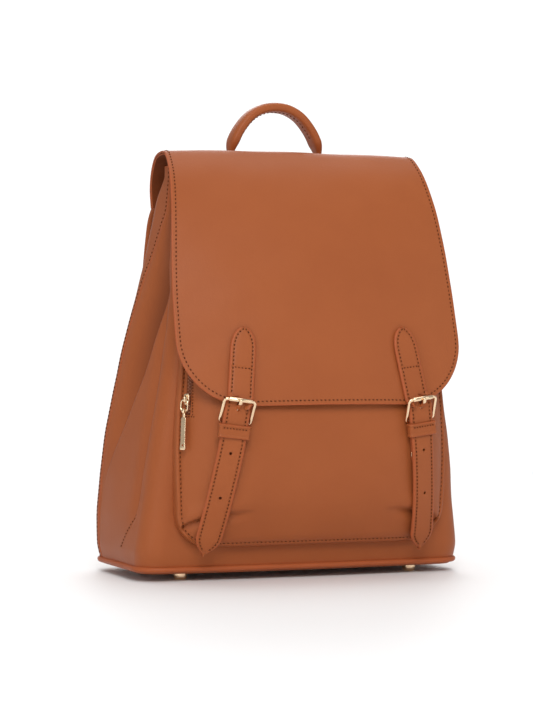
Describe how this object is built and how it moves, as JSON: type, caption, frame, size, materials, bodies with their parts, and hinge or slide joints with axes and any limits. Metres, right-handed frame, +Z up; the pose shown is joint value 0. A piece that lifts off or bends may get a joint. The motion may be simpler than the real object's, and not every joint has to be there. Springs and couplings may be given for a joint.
{
  "type": "leather backpack",
  "caption": "Structured A-line leather backpack with a flap, buckled closure straps, a zipped front pocket, a carry handle and shoulder straps.",
  "frame": {"origin": "on the floor under the middle of the bag's box, at the underside of the feet", "axes": "+Z up, -Y the front with the flap and pocket, +Y the wearer's back, +X the viewer's right"},
  "size_m": [0.2754, 0.192, 0.374],
  "materials": {
    "leather_tan": "smooth satin tan leather",
    "leather_trim": "smooth satin tan leather, painted edges",
    "lining_cloth": "plain woven lining",
    "zip_tape": "woven zip tape",
    "zip_coil": "nylon coil",
    "gold_metal": "polished pale gold plating",
    "magnet_steel": "satin",
    "board": "fibre board",
    "foam": "foam sheet"
  },
  "bodies": {
    "bag": {"back_panel": "leather_tan", "gusset_left": "leather_trim", "gusset_right": "leather_trim", "front_panel": "leather_tan", "lining": "lining_cloth", "back_stiffener": "foam", "inner_slip_pocket": "lining_cloth", "bottom_panel": "leather_trim", "base_board": "board", "base_piping": "leather_trim", "foot_front_left": "gold_metal", "foot_front_right": "gold_metal", "foot_back_left": "gold_metal", "foot_back_right": "gold_metal", "flap_yoke": "leather_tan", "flap_yoke_lining": "leather_trim", "top_zip_tape_front": "zip_tape", "top_zip_tape_back": "zip_tape", "top_zip_coil": "zip_coil", "front_pocket": "leather_tan", "pocket_zip_tape": "zip_tape", "pocket_zip_coil": "zip_coil", "snap_magnet_left": "magnet_steel", "snap_magnet_right": "magnet_steel", "handle_patch_left": "leather_trim", "handle_patch_right": "leather_trim", "shoulder_strap_left": "leather_tan", "shoulder_strap_right": "leather_tan", "lower_strap_left": "leather_trim", "lower_strap_right": "leather_trim", "strap_slide_left": "gold_metal", "strap_slide_right": "gold_metal", "anchor_ring_left": "gold_metal", "anchor_ring_right": "gold_metal", "anchor_tab_left": "leather_trim", "anchor_tab_right": "leather_trim"},
    "flap": {"flap_leather": "leather_tan", "flap_lining": "leather_trim", "closure_strap_left_top": "leather_tan", "closure_strap_right_top": "leather_tan"},
    "strap_left": {"closure_strap_left": "leather_tan", "keeper_loop_left": "leather_trim", "chape_tab_left": "leather_trim", "snap_rivet_left": "gold_metal"},
    "buckle_left": {"buckle_frame_left": "gold_metal", "buckle_roller_left": "gold_metal"},
    "prong_left": {"buckle_prong_left": "gold_metal"},
    "strap_right": {"closure_strap_right": "leather_tan", "keeper_loop_right": "leather_trim", "chape_tab_right": "leather_trim", "snap_rivet_right": "gold_metal"},
    "buckle_right": {"buckle_frame_right": "gold_metal", "buckle_roller_right": "gold_metal"},
    "prong_right": {"buckle_prong_right": "gold_metal"},
    "handle": {"carry_handle": "leather_tan"},
    "pocket_slider": {"pocket_zip_slider": "gold_metal"},
    "pocket_ring": {"pocket_zip_ring": "gold_metal"},
    "pocket_puller": {"pocket_zip_puller": "gold_metal"},
    "top_slider": {"top_zip_slider": "gold_metal"},
    "top_puller": {"top_zip_puller": "gold_metal"}
  },
  "joints": [
    {"name": "flap_hinge", "type": "hinge", "parent": "bag", "child": "flap", "pos_m": [0, 0.008, 0.3294], "axis": [-1, 0, 0], "range_deg": [0, 130]},
    {"name": "strap_lift_left", "type": "hinge", "parent": "flap", "child": "strap_left", "pos_m": [-0.06866, -0.08165, 0.16331], "axis": [-0.988, 0.1055, 0.1125], "range_deg": [0, 40], "stiffness_Nm_per_rad": 0.12},
    {"name": "strap_lift_right", "type": "hinge", "parent": "flap", "child": "strap_right", "pos_m": [0.06866, -0.08165, 0.16331], "axis": [-0.988, -0.1055, -0.1125], "range_deg": [0, 40], "stiffness_Nm_per_rad": 0.12},
    {"name": "buckle_tilt_left", "type": "hinge", "parent": "strap_left", "child": "buckle_left", "pos_m": [-0.0754, -0.08268, 0.12274], "axis": [0.9848, -0.1071, -0.1365], "range_deg": [0, 12]},
    {"name": "buckle_tilt_right", "type": "hinge", "parent": "strap_right", "child": "buckle_right", "pos_m": [0.0754, -0.08268, 0.12274], "axis": [0.9848, 0.1071, 0.1365], "range_deg": [0, 12]},
    {"name": "prong_lift_left", "type": "hinge", "parent": "buckle_left", "child": "prong_left", "pos_m": [-0.0754, -0.08268, 0.12274], "axis": [0.9848, -0.1071, -0.1365], "range_deg": [0, 15]},
    {"name": "prong_lift_right", "type": "hinge", "parent": "buckle_right", "child": "prong_right", "pos_m": [0.0754, -0.08268, 0.12274], "axis": [0.9848, 0.1071, 0.1365], "range_deg": [0, 15]},
    {"name": "handle_fold", "type": "hinge", "parent": "bag", "child": "handle", "pos_m": [0, 0.032, 0.3285], "axis": [-1, 0, 0], "range_deg": [0, 60], "stiffness_Nm_per_rad": 0.03},
    {"name": "pocket_zip_slide", "type": "slide", "parent": "bag", "child": "pocket_slider", "axis": [0.045, 0.0315, 0.9985], "range_m": [0, 0.032]},
    {"name": "pocket_ring_swing", "type": "hinge", "parent": "pocket_slider", "child": "pocket_ring", "pos_m": [-0.10726, -0.06067, 0.13923], "axis": [-0.5736, 0.8192, 0], "range_deg": [0, 75]},
    {"name": "pocket_puller_swing", "type": "hinge", "parent": "pocket_ring", "child": "pocket_puller", "pos_m": [-0.10763, -0.06094, 0.13084], "axis": [-0.5736, 0.8192, 0], "range_deg": [0, 40]},
    {"name": "top_zip_slide", "type": "slide", "parent": "bag", "child": "top_slider", "axis": [1, 0, 0], "range_m": [0, 0.15]},
    {"name": "top_puller_lift", "type": "hinge", "parent": "top_slider", "child": "top_puller", "pos_m": [-0.0794, 0.009, 0.3168], "axis": [0, -1, 0], "range_deg": [0, 20]}
  ]
}
